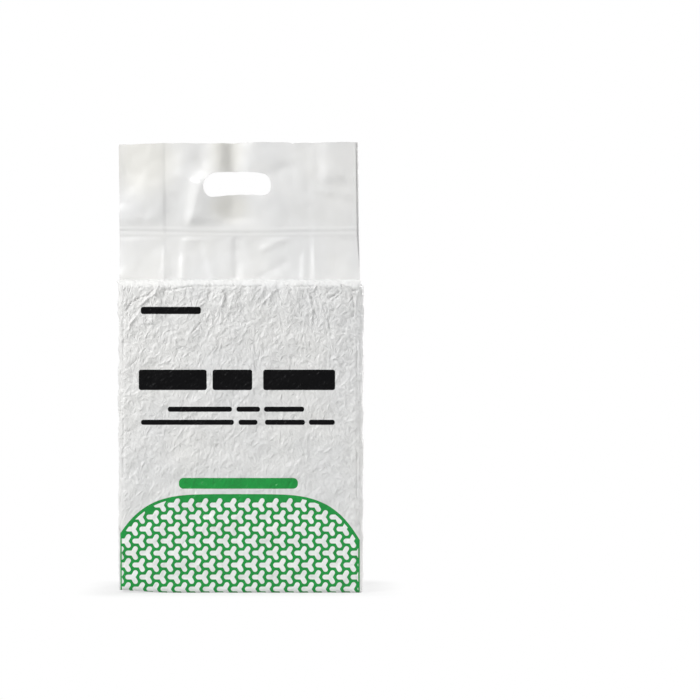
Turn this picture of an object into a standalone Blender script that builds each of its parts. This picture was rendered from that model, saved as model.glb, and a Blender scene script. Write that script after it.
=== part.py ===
"""Side-gusseted film pack of cat litter: a firm rectangular block of packed litter under a flat header.

The pack is one sealed body. Its skin is laid out as rings of points, from the foot to the top edge of the
header. Each ring walks round the front web, the right gusset, the back web and the left gusset. At the foot
and on the walls the rings are rounded rectangles. Over the shoulder the two webs run in flat towards the
middle, and each gusset is tucked in under them along 45 degree folds, as on a wrapped parcel. Above that the
webs meet, with the folded gussets between them at the sides, which makes the four-layer header.

Units are metres, +Z is up, the printed front faces -Y, and the origin is the middle of the foot.
"""

import math
from collections import namedtuple

import bmesh
import bpy
import numpy as np

# Driving dimensions of the pack
BAG_WIDTH = 0.230
BAG_DEPTH = 0.084
BLOCK_HEIGHT = 0.2938
BAG_HEIGHT = 0.4278

# Edges of the block
CORNER_RADIUS = 0.007
SHOULDER_RADIUS = 0.007
FOOT_RADIUS = 0.004
FOOT_SIDE_INSET = 0.001
ROOF_RISE = 0.0022
ROOF_CURVE = 2.4
SIDE_CREASE_DEPTH = 0.0012
LIFTED_CORNER_HEIGHT = 0.0024
LIFTED_CORNER_LENGTH = 0.016
LIFTED_CORNER_FADE = 0.030

# Film layers of the header, pressed together
CENTRE_THICKNESS = 0.0010
LEAF_THICKNESS = 0.0008
GUSSET_GAP = 0.0005
FOLD_SOFTNESS = 0.0018
TUCK_GAP = 0.0006

# The header leans a little to the left
HEADER_LEAN_LOW = -0.0024
HEADER_LEAN_TOP = -0.0041

# Top edge of the header, lower at its left end
TOP_EDGE_DIP = 0.0014
TOP_EDGE_WAVE = 0.0004
TOP_EDGE_WAVE_LENGTH = 0.090

# The webs stand out below the seal, where they run down onto the block
TENT_DEPTH = 0.005
TENT_START = 0.003
TENT_REACH = 0.012

# Heat-sealed band across the header
SEAL_RISE = 0.0444
SEAL_HEIGHT = 0.0080
SEAL_PROUD = 0.00025
SEAL_GROOVE = 0.0014
SEAL_LIP = 0.0006
SEAL_SHELF = 0.0001
SEAL_END_SQUEEZE = 0.0003

# Punched hand slot, bowed upwards in the middle, with its lower edge hanging at the left
SLOT_LENGTH = 0.0640
SLOT_HEIGHT = 0.0225
SLOT_DROP = 0.0405
SLOT_OFFSET = -0.0013
SLOT_ARCH = 0.0030
SLOT_HANG = 0.0016
SLOT_END_POINTS = 9
SLOT_SIDE_POINTS = 7

# Lap seam down the middle of the back web
SEAM_WIDTH = 0.012
SEAM_THICKNESS = 0.0006
SEAM_STEP = 0.0009

# Relief of the film over the litter
CRINKLE_DEPTH = 0.00075
CRINKLE_SPACING = 0.021
EDGE_RIDGE_HEIGHT = 0.0006
EDGE_VALLEY_DEPTH = 0.0009
EDGE_RIDGE_SETBACK = 0.0026
EDGE_VALLEY_SETBACK = 0.0062
EDGE_RELIEF_HALF_WIDTH = 0.0018
SHOULDER_GATHER_DEPTH = 0.0007
SHOULDER_GATHER_REACH = 0.045
SHOULDER_GATHER_SPACING = 0.013
SHOULDER_GATHER_STRETCH = 0.35
RELIEF_FADE = 0.010
SHOULDER_CLEARANCE = 0.002

# Layout of the skin's points
CENTRE_SEGMENTS = 18
SIDE_SEGMENTS = 5
WALL_SEGMENTS = 29
SEAL_TO_ROOF_SEGMENTS = 4
TOP_SEGMENTS = 9
EDGE_STEPS = (0.0, 0.0012, 0.0038)

# Soft folds of the header: place across, push to the back, half width, lowest and highest point of each
Fold = namedtuple("Fold", "across push half_width bottom top")
HEADER_FOLDS = (
    Fold(-0.0087, 0.0032, 0.0090, 0.392, 0.460),
    Fold(-0.0205, -0.0010, 0.0080, 0.396, 0.460),
    Fold(-0.0345, 0.0016, 0.0105, 0.392, 0.440),
    Fold(-0.0500, -0.0008, 0.0115, 0.388, 0.440),
    Fold(0.0869, -0.0028, 0.0095, 0.384, 0.460),
    Fold(-0.0780, -0.0018, 0.0260, 0.356, 0.402),
    Fold(-0.0360, -0.0028, 0.0100, 0.344, 0.380),
    Fold(-0.0044, 0.0028, 0.0125, 0.344, 0.378),
    Fold(0.0510, -0.0012, 0.0160, 0.360, 0.392),
    Fold(-0.0036, 0.0014, 0.0060, 0.298, 0.338),
    Fold(-0.0716, -0.0012, 0.0060, 0.298, 0.318),
    Fold(0.0330, -0.0009, 0.0080, 0.318, 0.340),
    Fold(-0.0960, -0.0010, 0.0150, 0.302, 0.326),
)
# Share of a fold's height over which it fades at each end, and the room left beside the seal and the block
FOLD_FADE = 0.3
FOLD_TO_SEAL = 0.010
FOLD_TO_BLOCK = 0.008

Material = namedtuple("Material", "name colour roughness")
FILM = Material("white_film", (0.80, 0.80, 0.79), 0.34)

HALF_WIDTH = BAG_WIDTH / 2
HALF_DEPTH = BAG_DEPTH / 2
FOLD_LINE = HALF_WIDTH - HALF_DEPTH
LEAF_FACE = GUSSET_GAP / 2 + LEAF_THICKNESS
ROOF_HEIGHT = BLOCK_HEIGHT + ROOF_RISE
SEAL_BOTTOM = BLOCK_HEIGHT + SEAL_RISE
SEAL_TOP = SEAL_BOTTOM + SEAL_HEIGHT
EIGHTH_TURN = math.pi / 4
SMOOTH_ANGLE = math.radians(40)

# One ring of the skin: height and half depth of the webs, how far the gussets are tucked in, rounding of the
# corners, thickness of the layers over the tuck, and its share of the foot's and of the header's shape
Ring = namedtuple("Ring", "height depth tuck corner layer foot header")


def smooth(low, high, value):
    """0 below low, 1 above high, and an even S between them."""
    share = np.clip((value - low) / (high - low), 0.0, 1.0)
    return share * share * (3 - 2 * share)


def bump(value, centre, half_width):
    """A soft hump of height 1 at the centre."""
    return np.exp(-(((value - centre) / half_width) ** 2))


def waves(first, second, spacing, seed):
    """An even, seeded relief between about -1 and 1, with creases where it turns over."""
    random = np.random.default_rng(seed)
    total = np.zeros(np.broadcast(first, second).shape)
    for _ in range(9):
        angle = random.uniform(0, math.pi)
        number = 2 * math.pi / (spacing * random.uniform(0.75, 1.6))
        phase = random.uniform(0, 2 * math.pi)
        total += np.cos(number * (first * math.cos(angle) + second * math.sin(angle)) + phase)
    return 1 - 2 * np.abs(np.tanh(total / 3))


def edge_columns():
    """Distances from a folded edge, from the edge inwards, close enough to turn its corner."""
    return np.array(EDGE_STEPS + (CORNER_RADIUS,))


def gusset_columns():
    """Distances along half a gusset, from the web's edge to the gusset's middle fold."""
    flat = np.linspace(CORNER_RADIUS, HALF_DEPTH, SIDE_SEGMENTS + 1)[1:]
    return np.concatenate([edge_columns(), flat])


def front_columns():
    """Places across a web, from its left edge to its right, with the gussets' own columns at its sides."""
    inner = FOLD_LINE - FOLD_SOFTNESS
    right = HALF_WIDTH - gusset_columns()[::-1]
    return np.concatenate([-right[::-1], np.linspace(-inner, inner, CENTRE_SEGMENTS + 1), right])


def back_columns():
    """The front web's columns, and those of the lap seam."""
    seam = np.array([SEAM_WIDTH / 2, SEAM_WIDTH / 2 + SEAM_STEP])
    return np.sort(np.concatenate([front_columns(), -seam, seam]))


def foot_rings():
    for angle in (0, EIGHTH_TURN):
        yield Ring(
            height=FOOT_RADIUS * (1 - math.cos(angle)),
            depth=HALF_DEPTH - FOOT_RADIUS * (1 - math.sin(angle)),
            tuck=0.0,
            corner=CORNER_RADIUS / 2,
            layer=0.0,
            foot=1 - math.sin(angle),
            header=0.0,
        )


def wall_rings():
    for height in np.linspace(FOOT_RADIUS, BLOCK_HEIGHT - SHOULDER_RADIUS, WALL_SEGMENTS + 1):
        yield Ring(height, HALF_DEPTH, 0.0, CORNER_RADIUS, 0.0, 0.0, 0.0)


def roof_height(depth):
    """Height of the web where it lies on the litter, at this distance from the middle of the pack."""
    arc_start = HALF_DEPTH - SHOULDER_RADIUS
    if depth > arc_start:
        across = depth - arc_start
        return BLOCK_HEIGHT - SHOULDER_RADIUS + math.sqrt(max(SHOULDER_RADIUS**2 - across**2, 0.0))
    return BLOCK_HEIGHT + ROOF_RISE * (1 - depth / arc_start) ** ROOF_CURVE


def roof_rings():
    """The webs run in over the litter, and each gusset is tucked in by as much."""
    for tuck in gusset_columns()[1:-1]:
        depth = HALF_DEPTH - tuck
        yield Ring(
            height=roof_height(depth),
            depth=depth,
            tuck=tuck,
            corner=CORNER_RADIUS * max(0.0, 1 - 2 * tuck / CORNER_RADIUS),
            layer=LEAF_THICKNESS * min(1.0, tuck / CORNER_RADIUS),
            foot=0.0,
            header=float(smooth(0.6 * HALF_DEPTH, HALF_DEPTH, tuck)),
        )


def header_rings():
    below = np.linspace(ROOF_HEIGHT, SEAL_BOTTOM, SEAL_TO_ROOF_SEGMENTS + 1)
    above = np.linspace(SEAL_TOP, BAG_HEIGHT, TOP_SEGMENTS + 1)
    for height in np.concatenate([below, above]):
        yield Ring(height, CENTRE_THICKNESS / 2, HALF_DEPTH, 0.0, LEAF_THICKNESS, 0.0, 1.0)


def stacked(rings):
    """The rings as one column of values for each field, and the outward slope of the web at each ring."""
    fields = Ring(*(np.array(values)[:, None] for values in zip(*rings)))
    rise = np.gradient(fields.height[:, 0])
    inwards = -np.gradient(fields.depth[:, 0])
    length = np.hypot(rise, inwards)
    outward = (rise / length)[:, None]
    upward = (inwards / length)[:, None]
    return fields, outward, upward


def corner_turn(rings, from_edge):
    """How far the rounded corner draws a point in across and in depth, and 0 beyond the rounding."""
    radius = np.maximum(rings.corner, 1e-9)
    angle = EIGHTH_TURN * (1 - np.minimum(from_edge / radius, 1.0))
    return radius, angle


def web_relief(across, height, header, seed):
    """Outward relief of a web: crinkles, gathers below the shoulder, and the ridge beside each edge."""
    from_edge = HALF_WIDTH - np.abs(across)
    from_top = BLOCK_HEIGHT - height
    on_block = smooth(0.0, RELIEF_FADE, height) * smooth(SHOULDER_CLEARANCE, RELIEF_FADE, from_top)
    inside = smooth(EDGE_VALLEY_SETBACK, 2 * EDGE_VALLEY_SETBACK, from_edge)
    crinkle = CRINKLE_DEPTH * waves(across, height, CRINKLE_SPACING, seed)
    gather = waves(across, SHOULDER_GATHER_STRETCH * height, SHOULDER_GATHER_SPACING, seed + 1)
    gather *= SHOULDER_GATHER_DEPTH * smooth(SHOULDER_GATHER_REACH, RELIEF_FADE, from_top)
    ridge = EDGE_RIDGE_HEIGHT * bump(from_edge, EDGE_RIDGE_SETBACK, EDGE_RELIEF_HALF_WIDTH)
    valley = EDGE_VALLEY_DEPTH * bump(from_edge, EDGE_VALLEY_SETBACK, EDGE_RELIEF_HALF_WIDTH)
    return on_block * (inside * (crinkle + gather) + ridge - valley) * (1 - header)


def tent(rings):
    """How far the webs stand out between the seal and the block."""
    below_seal = smooth(SEAL_BOTTOM - TENT_START, ROOF_HEIGHT - TENT_REACH, rings.height)
    return TENT_DEPTH * below_seal * smooth(TENT_REACH, 0.0, rings.depth)


def web_points(rings, outward, upward, columns, side, seed):
    """Points of one web. side is -1 for the front and 1 for the back."""
    across = np.broadcast_to(columns, (len(rings.height), len(columns)))
    half_width = HALF_WIDTH - FOOT_SIDE_INSET * rings.foot
    radius, angle = corner_turn(rings, HALF_WIDTH - np.abs(across))
    turned = np.sign(across) * (half_width - radius + radius * np.sin(angle))
    x = np.where(angle > 0, turned, across * half_width / HALF_WIDTH)
    leaf = smooth(FOLD_LINE - FOLD_SOFTNESS, FOLD_LINE, np.abs(across))
    depth = rings.depth + rings.header * leaf * (LEAF_FACE - CENTRE_THICKNESS / 2)
    depth = depth - radius * (1 - np.cos(angle)) + tent(rings)
    lift = web_relief(across, rings.height, rings.header, seed)
    if side > 0:
        seam = 1 - smooth(SEAM_WIDTH / 2, SEAM_WIDTH / 2 + SEAM_STEP, np.abs(across))
        lift = lift + SEAM_THICKNESS * seam * smooth(0.0, FOOT_RADIUS, rings.height)
    y = side * (depth + outward * lift)
    z = rings.height + upward * lift
    return np.stack([x, y, z], axis=2)


def gusset_points(rings, outward, upward, side_across, side, seed):
    """Points of half a gusset, from a web's edge to the middle fold, without the edge itself."""
    along = np.broadcast_to(gusset_columns()[1:], (len(rings.height), len(gusset_columns()) - 1))
    inset = np.minimum(along, rings.tuck)
    depth = rings.depth - np.maximum(along - rings.tuck, 0.0)
    depth = depth + rings.header * (LEAF_FACE - CENTRE_THICKNESS / 2)
    radius = np.maximum(rings.corner, 1e-9)
    angle = EIGHTH_TURN * (1 + np.minimum(along / radius, 1.0))
    turning = along < radius
    x = HALF_WIDTH - inset
    x = np.where(turning, HALF_WIDTH - radius + radius * np.sin(angle) - inset, x)
    depth = np.where(turning, rings.depth - radius + radius * np.cos(angle), depth)
    layer = rings.layer + TUCK_GAP * (1 - rings.header) * smooth(0.0, CORNER_RADIUS, along - rings.tuck)
    layer = np.where(rings.tuck > 0, layer, 0.0)
    depth = depth - outward * layer
    z = rings.height - upward * layer
    x = x - FOOT_SIDE_INSET * rings.foot
    middle = along >= HALF_DEPTH - 1e-9
    depth = np.where(middle, 0.0, depth)
    from_top = BLOCK_HEIGHT - rings.height
    on_block = smooth(0.0, RELIEF_FADE, rings.height) * smooth(SHOULDER_RADIUS, 2 * RELIEF_FADE, from_top)
    inside = smooth(0.0, 2 * CORNER_RADIUS, along)
    crinkle = CRINKLE_DEPTH * inside * waves(side * depth, rings.height, CRINKLE_SPACING, seed)
    crease = SIDE_CREASE_DEPTH * middle
    x = x + on_block * (crinkle - crease)
    return np.stack([side_across * x, side * depth, z], axis=2)


def lift_foot_corner(points):
    """Raises the foot at its left end, where the film is drawn up off the ground."""
    reach = smooth(3 * LIFTED_CORNER_LENGTH, 0.0, points[..., 0] + HALF_WIDTH)
    near_foot = smooth(LIFTED_CORNER_FADE, 0.0, points[..., 2])
    points[1:, :, 2] += (LIFTED_CORNER_HEIGHT * reach * near_foot)[1:]
    points[0, :, 0] += LIFTED_CORNER_LENGTH * reach[0]


def header_share(height):
    return smooth(BLOCK_HEIGHT - SHOULDER_RADIUS, ROOF_HEIGHT, height)


def lean(height):
    upper = (height - ROOF_HEIGHT) / (BAG_HEIGHT - ROOF_HEIGHT)
    return HEADER_LEAN_LOW + (HEADER_LEAN_TOP - HEADER_LEAN_LOW) * np.clip(upper, 0.0, 1.0)


def header_push(x, height):
    """How far the header's soft folds push it back."""
    total = np.zeros(np.broadcast(x, height).shape)
    for fold in HEADER_FOLDS:
        fade = FOLD_FADE * (fold.top - fold.bottom)
        started = smooth(fold.bottom, fold.bottom + fade, height)
        ended = smooth(fold.top - fade, fold.top, height)
        total += fold.push * started * (1 - ended) * bump(x, fold.across, fold.half_width)
    off_seal = smooth(0.0, FOLD_TO_SEAL, height - SEAL_TOP) + smooth(0.0, FOLD_TO_SEAL, SEAL_BOTTOM - height)
    off_block = smooth(0.0, FOLD_TO_BLOCK, height - ROOF_HEIGHT)
    return total * np.clip(off_seal, 0.0, 1.0) * off_block


def top_edge_rise(x):
    dip = -TOP_EDGE_DIP * (1 - smooth(-HALF_WIDTH, 0.2 * HALF_WIDTH, x))
    return dip + TOP_EDGE_WAVE * np.sin(2 * math.pi * x / TOP_EDGE_WAVE_LENGTH)


def hang_header(points):
    """Leans the header, pushes its folds and gives its top edge its line. All its layers bend at one set of
    columns, so that they stay a film apart."""
    columns = front_columns()
    for ring in points:
        x, y, z = ring[:, 0], ring[:, 1], ring[:, 2]
        height = z[len(columns) // 2]
        push = np.interp(x, columns, header_push(columns, height))
        rise = np.interp(x, columns, top_edge_rise(columns)) * smooth(SEAL_TOP, BAG_HEIGHT, height)
        x += header_share(z) * lean(z)
        y += push
        z += rise


def skin_points():
    """All the rings' points, one row for each ring, running round the pack against the clock."""
    rings, outward, upward = stacked(
        [ring for part in (foot_rings, wall_rings, roof_rings, header_rings) for ring in part()]
    )
    front = web_points(rings, outward, upward, front_columns(), -1, seed=11)
    back = web_points(rings, outward, upward, back_columns(), 1, seed=23)
    right_front = gusset_points(rings, outward, upward, 1, -1, seed=31)
    right_back = gusset_points(rings, outward, upward, 1, 1, seed=37)
    left_front = gusset_points(rings, outward, upward, -1, -1, seed=41)
    left_back = gusset_points(rings, outward, upward, -1, 1, seed=43)
    points = np.concatenate(
        [
            front,
            right_front,
            right_back[:, -2::-1],
            back[:, ::-1],
            left_back,
            left_front[:, -2::-1],
        ],
        axis=1,
    )
    lift_foot_corner(points)
    hang_header(points)
    return points


def header_places():
    """Each column's distance from the middle of the header, in the rings' order."""
    front, back = np.abs(front_columns()), np.abs(back_columns())
    gusset = HALF_WIDTH - gusset_columns()[1:]
    return np.concatenate([front, gusset, gusset[-2::-1], back, gusset, gusset[-2::-1]])


def lace(model, near, far):
    """Fills between two rows of verts that run to the right, near in front of far, by the shorter step."""
    low, high = 0, 0
    while low < len(near) - 1 or high < len(far) - 1:
        near_next = near[low + 1].co.x if low < len(near) - 1 else math.inf
        far_next = far[high + 1].co.x if high < len(far) - 1 else math.inf
        if near_next <= far_next:
            corners = (near[low], near[low + 1], far[high])
            low += 1
        else:
            corners = (near[low], far[high + 1], far[high])
            high += 1
        if len(set(corners)) == 3:
            model.faces.new(corners)


def close_top_edge(model, ring):
    """Caps the webs and the gusset leaves at the top of the header, from column to column."""
    front_size, back_size = len(front_columns()), len(back_columns())
    leaf_size = len(gusset_columns())
    starts = np.cumsum([0, front_size, leaf_size - 1, leaf_size - 2, back_size, leaf_size - 1])
    front = ring[: starts[1]]
    back = ring[starts[3] : starts[4]][::-1]
    right_front = ring[starts[1] : starts[2]][::-1] + [front[-1]]
    right_back = [right_front[0]] + ring[starts[2] : starts[3]] + [back[-1]]
    left_back = [back[0]] + ring[starts[4] : starts[5]]
    left_front = [front[0]] + ring[starts[5] :][::-1] + [left_back[-1]]
    lace(model, front[-leaf_size:], right_front)
    lace(model, right_back, back[-leaf_size:])
    lace(model, front[:leaf_size], left_front)
    lace(model, left_back, back[:leaf_size])
    lace(model, front[leaf_size:-leaf_size], back[leaf_size:-leaf_size])
    join_leaves(model, front, back, leaf_size, leaf_size - 1, left_back[-1])
    join_leaves(model, front, back, -leaf_size - 1, -leaf_size, right_front[0])


def join_leaves(model, front, back, web_end, fold, across):
    """Closes the top edge between its two-layer middle and its four-layer side, at a gusset's middle fold."""
    near, near_fold, far, far_fold = front[web_end], front[fold], back[web_end], back[fold]
    for corners in ((near, near_fold, across), (near, across, far), (far, across, far_fold)):
        model.faces.new(corners if fold < 0 else corners[::-1])


def skin_mesh():
    """Joins neighbouring rings and closes the foot and the top edge. Every diagonal rises towards the middle
    of the header, so that it follows the folds of the tuck, and so that the header's layers bend alike."""
    points = skin_points()
    places = header_places()
    ring_size = len(places)
    model = bmesh.new()
    verts = [[model.verts.new(point) for point in ring] for ring in points]
    for lower, upper in zip(verts, verts[1:]):
        for column in range(ring_size):
            following = (column + 1) % ring_size
            quad = [lower[column], lower[following], upper[following], upper[column]]
            if places[following] > places[column]:
                quad = quad[1:] + quad[:1]
            model.faces.new((quad[0], quad[1], quad[2]))
            model.faces.new((quad[0], quad[2], quad[3]))
    foot = model.faces.new(verts[0][::-1])
    bmesh.ops.triangulate(model, faces=[foot], ngon_method="EAR_CLIP")
    close_top_edge(model, verts[-1])
    mesh = bpy.data.meshes.new("litter_bag")
    model.to_mesh(mesh)
    model.free()
    return mesh


def extruded(name, outline, places):
    """A closed body whose outline is repeated at each place. outline and places give lists of 3-D points."""
    model = bmesh.new()
    rings = [[model.verts.new(place(point)) for point in outline] for place in places]
    for lower, upper in zip(rings, rings[1:]):
        for index in range(len(outline)):
            following = (index + 1) % len(outline)
            model.faces.new((lower[index], lower[following], upper[following], upper[index]))
    model.faces.new(rings[0][::-1])
    model.faces.new(rings[-1])
    bmesh.ops.recalc_face_normals(model, faces=model.faces)
    mesh = bpy.data.meshes.new(name)
    model.to_mesh(mesh)
    model.free()
    helper = bpy.data.objects.new(name, mesh)
    bpy.context.scene.collection.objects.link(helper)
    helper.hide_render = True
    helper.display_type = "WIRE"
    return helper


def seal_band():
    """The band where heat has fused all the layers: two ribs with a groove between, thicker over the gussets,
    and squeezed out a little beyond their folded edges."""
    end = HALF_WIDTH + SEAL_END_SQUEEZE
    inner = FOLD_LINE - FOLD_SOFTNESS
    right = [(inner, CENTRE_THICKNESS / 2), (FOLD_LINE, LEAF_FACE), (end, LEAF_FACE)]
    quarter = [(x, -y) for x, y in right]
    outline = quarter + [(x, -y) for x, y in quarter[::-1]]
    outline += [(-x, -y) for x, y in quarter] + [(-x, y) for x, y in quarter[::-1]]
    middle = (SEAL_BOTTOM + SEAL_TOP) / 2
    stations = (
        (SEAL_BOTTOM, SEAL_SHELF),
        (SEAL_BOTTOM + SEAL_LIP, SEAL_PROUD),
        (middle - SEAL_GROOVE / 2 - SEAL_LIP / 2, SEAL_PROUD),
        (middle - SEAL_GROOVE / 2, SEAL_SHELF),
        (middle + SEAL_GROOVE / 2, SEAL_SHELF),
        (middle + SEAL_GROOVE / 2 + SEAL_LIP / 2, SEAL_PROUD),
        (SEAL_TOP - SEAL_LIP, SEAL_PROUD),
        (SEAL_TOP, SEAL_SHELF),
    )

    def placed(height, proud):
        return lambda point: (
            point[0] + lean(height),
            point[1] + math.copysign(proud, point[1]),
            height,
        )

    return extruded("seal_band", outline, [placed(height, proud) for height, proud in stations])


def slot_outline():
    """The slot's outline: two bowed sides and half-round ends, with the lower side hanging at the left."""
    radius = SLOT_HEIGHT / 2
    reach = SLOT_LENGTH / 2 - radius
    outline = []
    for angle in np.linspace(-math.pi / 2, math.pi / 2, SLOT_END_POINTS):
        outline.append((reach + radius * math.cos(angle), radius * math.sin(angle)))
    for x in np.linspace(reach, -reach, SLOT_SIDE_POINTS)[1:-1]:
        outline.append((x, radius))
    outline += [(-x, -z) for x, z in outline]
    shaped = []
    for x, z in outline:
        share = 2 * x / SLOT_LENGTH
        hang = SLOT_HANG * share if z < 0 else 0.0
        shaped.append((x, z + SLOT_ARCH * (1 - share**2) - SLOT_ARCH / 2 + hang))
    return shaped


def slot_cutter():
    height = BAG_HEIGHT - SLOT_DROP
    centre = lean(height) + SLOT_OFFSET

    def placed(y):
        return lambda point: (centre + point[0], y, height + point[1])

    return extruded("slot_cutter", slot_outline(), [placed(-HALF_DEPTH), placed(HALF_DEPTH)])


def principled(material):
    made = bpy.data.materials.new(material.name)
    made.use_nodes = True
    shader = made.node_tree.nodes["Principled BSDF"]
    shader.inputs["Base Color"].default_value = (*material.colour, 1.0)
    shader.inputs["Roughness"].default_value = material.roughness
    shader.inputs["Metallic"].default_value = 0.0
    made.diffuse_color = (*material.colour, 1.0)
    return made


def combine(target, operation, helper):
    step = target.modifiers.new(helper.name, "BOOLEAN")
    step.operation = operation
    step.solver = "EXACT"
    step.object = helper


def build_bag():
    bag = bpy.data.objects.new("litter_bag", skin_mesh())
    bpy.context.scene.collection.objects.link(bag)
    bag.data.materials.append(principled(FILM))
    bag.data.shade_smooth()
    bag.data.set_sharp_from_angle(angle=SMOOTH_ANGLE)
    combine(bag, "UNION", seal_band())
    combine(bag, "DIFFERENCE", slot_cutter())
    return bag


def main():
    for old in list(bpy.data.objects):
        bpy.data.objects.remove(old, do_unlink=True)
    build_bag()


main()
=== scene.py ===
"""Looks of the sealed, vacuum-packed bag of litter: crinkled film, folded header, print, light and camera."""

import math

import bmesh
import bpy
import numpy as np
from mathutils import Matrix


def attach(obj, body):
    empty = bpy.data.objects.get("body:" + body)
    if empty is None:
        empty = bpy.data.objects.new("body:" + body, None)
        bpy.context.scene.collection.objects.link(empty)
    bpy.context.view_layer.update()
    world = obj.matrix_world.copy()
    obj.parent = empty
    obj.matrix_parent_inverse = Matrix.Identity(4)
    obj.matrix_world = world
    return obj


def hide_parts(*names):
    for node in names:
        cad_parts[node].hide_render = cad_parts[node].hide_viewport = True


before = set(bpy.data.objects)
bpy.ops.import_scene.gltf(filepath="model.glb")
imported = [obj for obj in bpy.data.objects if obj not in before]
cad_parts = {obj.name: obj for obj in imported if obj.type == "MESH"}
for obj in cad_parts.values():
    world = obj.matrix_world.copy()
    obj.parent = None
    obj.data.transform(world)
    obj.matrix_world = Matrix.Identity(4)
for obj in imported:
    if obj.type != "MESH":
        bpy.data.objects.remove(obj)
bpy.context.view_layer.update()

# Sizes of the pack, as in the CAD model apart from slightly thinner layers
BAG_WIDTH = 0.23
BAG_DEPTH = 0.084
BLOCK_HEIGHT = 0.2938
BAG_HEIGHT = 0.4278
CORNER_RADIUS = 0.007
SHOULDER_RADIUS = 0.007
FOOT_RADIUS = 0.004
FOOT_SIDE_INSET = 0.001
ROOF_RISE = 0.0022
ROOF_CROWN_POWER = 2.4
SIDE_CREASE_DEPTH = 0.001
SIDE_CREASE_HALF_WIDTH = 0.0022
SIDE_CREASE_START = 0.01
SIDE_CREASE_END = 0.004
SIDE_HOLLOW_DEPTH = 0.0006
SIDE_HOLLOW_HALF_WIDTH = 0.012
LIFTED_CORNER_HEIGHT = 0.0024
LIFTED_CORNER_LENGTH = 0.016
CENTRE_THICKNESS = 0.0008
LEAF_THICKNESS = 0.0007
GUSSET_GAP = 0.0005
FOLD_SOFTNESS = 0.003
RIGHT_FOLD_SOFTNESS = 0.008
HEADER_START_SHARE = 0.6
TUCK_GAP = 0.0006
HEADER_LEAN_LOW = -0.0024
HEADER_LEAN_TOP = -0.0041
SEAL_RISE = 0.0444
SEAL_HEIGHT = 0.008
TENT_DEPTH = 0.005
TENT_START = 0.003
TENT_REACH = 0.012
SEAL_SAG = 0.0022
SLOT_LENGTH = 0.064
SLOT_HEIGHT = 0.0225
SLOT_DROP = 0.0405
SLOT_OFFSET = -0.0013
SLOT_ARCH = 0.003
SLOT_SKEW = 0.0016
SLOT_SQUARENESS = 0.72
SLOT_RIPPLE = 0.00012
SLOT_RIPPLE_SPACING = 0.0019
SLOT_POINTS = 25
SLOT_CUTTER_REACH = 0.03
SEAM_WIDTH = 0.012
SEAM_STEP = 0.0009
SEAM_THICKNESS = 0.0005

HALF_WIDTH = BAG_WIDTH / 2
HALF_DEPTH = BAG_DEPTH / 2
FOLD_LINE = HALF_WIDTH - HALF_DEPTH
LEAF_FACE = GUSSET_GAP / 2 + LEAF_THICKNESS
ROOF_HEIGHT = BLOCK_HEIGHT + ROOF_RISE
SEAL_BOTTOM = BLOCK_HEIGHT + SEAL_RISE
SEAL_TOP = SEAL_BOTTOM + SEAL_HEIGHT

# Least values, so that nothing is divided by zero
TINY_LENGTH = 1e-9
TINY_AREA = 1e-12

# Columns of the skin in the order in which they run round it, and the pieces that its faces go to
FRONT_COLUMNS = 0
RIGHT_FRONT_COLUMNS = 1
BACK_COLUMNS = 3
FRONT_PIECE = 0
WALL_PIECE = 1
HEADER_PIECE = 2

# Grid of the skin
SHOULDER_ANGLES = (0, 10, 18, 26, 34, 42, 50, 58, 66, 74, 82, 90)
ROOF_CELLS = 24
FOOT_CELLS = 4
WALL_CELLS = 297
HEADER_CELLS = 114
FRONT_CELLS = 224
BACK_CELLS = 112

# Relief map of the film over the litter: cell, how far it runs on past the roof, and random seed
MAP_CELL = 0.0005
MAP_MARGIN = 0.01
MAP_SEED = 7
STROKE_TAPER = 0.75

# Lines strewn over the map: count, length, half width, height, lean and its spread
PELLETS = (5200, (0.004, 0.01), (0.0016, 0.0028), (0.0001, 0.00045), 1.57, 1.4)
SHORT_RIDGES = (5600, (0.003, 0.011), (0.0009, 0.0014), (0.00024, 0.00088), 1.7, 0.8)
LONG_RIDGES = (1000, (0.009, 0.024), (0.0009, 0.0013), (0.0003, 0.00088), 1.7, 0.55)
VALLEYS = (3200, (0.004, 0.014), (0.0008, 0.0013), (-0.0006, -0.00015), 1.65, 0.75)
SHOULDER_RIDGES = (300, (0.006, 0.018), (0.001, 0.0015), (0.0004, 0.001), 1.57, 0.45)
SHOULDER_RIDGE_TOP = BLOCK_HEIGHT + 0.008
SHOULDER_RIDGE_REACH = 0.034

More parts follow.
